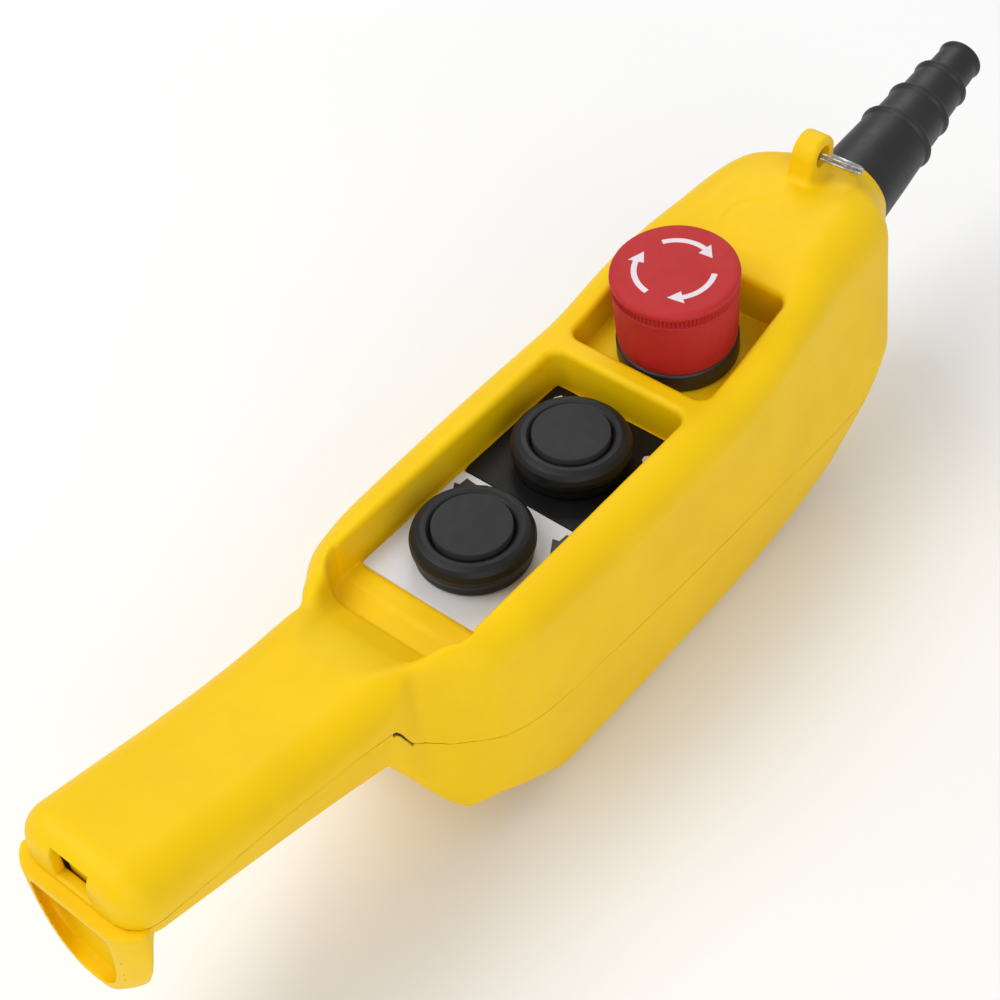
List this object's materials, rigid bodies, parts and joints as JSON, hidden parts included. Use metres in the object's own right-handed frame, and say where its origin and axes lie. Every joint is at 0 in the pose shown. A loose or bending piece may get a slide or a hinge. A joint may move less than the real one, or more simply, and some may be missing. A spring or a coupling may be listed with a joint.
{
  "type": "pendant push-button control station",
  "caption": "Pistol-grip pendant control station for an electric chain hoist: booted up and down push buttons, twist-release emergency stop, cable sleeve and hanging ring.",
  "frame": {"origin": "middle of the footprint, on the surface that the back of the rear shell lies on", "axes": "+X along the station towards the cable sleeve, +Y across it, +Z out of the button face"},
  "size_m": [0.3238, 0.0596, 0.087],
  "materials": {
    "shell_yellow": "satin moulded ABS, fine spark texture",
    "seal_rubber": "soft matt",
    "screw_steel": "zinc plated",
    "legend_white": "satin print",
    "legend_black": "satin print",
    "boot_rubber": "satin moulded rubber",
    "black_plastic": "satin",
    "spring_steel": "drawn wire",
    "stop_red": "satin",
    "inner_white": "satin",
    "contact_grey": "satin",
    "contact_brass": "bright",
    "sleeve_rubber": "matt moulded rubber",
    "ring_steel": "bright nickel"
  },
  "bodies": {
    "housing": {"front_shell": "shell_yellow", "rear_shell": "shell_yellow", "shell_seal": "seal_rubber", "rear_screw_1": "screw_steel", "rear_screw_2": "screw_steel", "rear_screw_3": "screw_steel", "rear_screw_4": "screw_steel", "rear_screw_5": "screw_steel", "rear_screw_6": "screw_steel", "rear_screw_7": "screw_steel", "down_legend_plate": "legend_white", "down_boot": "boot_rubber", "down_guide": "black_plastic", "down_spring": "spring_steel", "up_legend_plate": "legend_black", "up_boot": "boot_rubber", "up_guide": "black_plastic", "up_spring": "spring_steel", "stop_collar": "black_plastic", "stop_latch_ring": "inner_white", "stop_spring": "spring_steel", "down_nut": "black_plastic", "down_contact_block": "contact_grey", "down_terminal_a": "contact_brass", "down_terminal_b": "contact_brass", "up_nut": "black_plastic", "up_contact_block": "contact_grey", "up_terminal_a": "contact_brass", "up_terminal_b": "contact_brass", "stop_nut": "black_plastic", "stop_contact_block": "contact_grey", "stop_terminal_a": "contact_brass", "stop_terminal_b": "contact_brass", "cable_sleeve": "sleeve_rubber", "cord_clamp_bar": "black_plastic", "cord_clamp_screw_a": "screw_steel", "cord_clamp_screw_b": "screw_steel"},
    "down_button": {"down_cap": "boot_rubber", "down_plunger": "inner_white", "down_bridge": "contact_brass"},
    "up_button": {"up_cap": "boot_rubber", "up_plunger": "inner_white", "up_bridge": "contact_brass"},
    "stop_actuator": {"stop_stem": "black_plastic", "stop_plunger": "inner_white", "stop_bridge": "contact_brass"},
    "stop_mushroom": {"stop_head": "stop_red"},
    "split_ring": {"hanging_ring": "ring_steel"}
  },
  "joints": [
    {"name": "down_press", "type": "slide", "parent": "housing", "child": "down_button", "axis": [0, 0, -1], "range_m": [0, 0.004], "stiffness_N_per_m": 600, "springref_m": -0.003, "deforming": ["down_spring"]},
    {"name": "up_press", "type": "slide", "parent": "housing", "child": "up_button", "axis": [0, 0, -1], "range_m": [0, 0.004], "stiffness_N_per_m": 600, "springref_m": -0.003, "deforming": ["up_spring"]},
    {"name": "stop_release", "type": "slide", "parent": "housing", "child": "stop_actuator", "axis": [-0.0958, 0, 0.9954], "range_m": [0, 0.0045], "deforming": ["stop_spring"]},
    {"name": "stop_twist", "type": "hinge", "parent": "stop_actuator", "child": "stop_mushroom", "pos_m": [0.03064, 0, 0.0586], "axis": [0.0958, 0, -0.9954], "range_deg": [0, 45], "stiffness_Nm_per_rad": 0.05},
    {"name": "ring_swing", "type": "hinge", "parent": "housing", "child": "split_ring", "pos_m": [0.08544, 0, 0.0818], "axis": [0, -1, 0], "range_deg": [0, 225]}
  ]
}
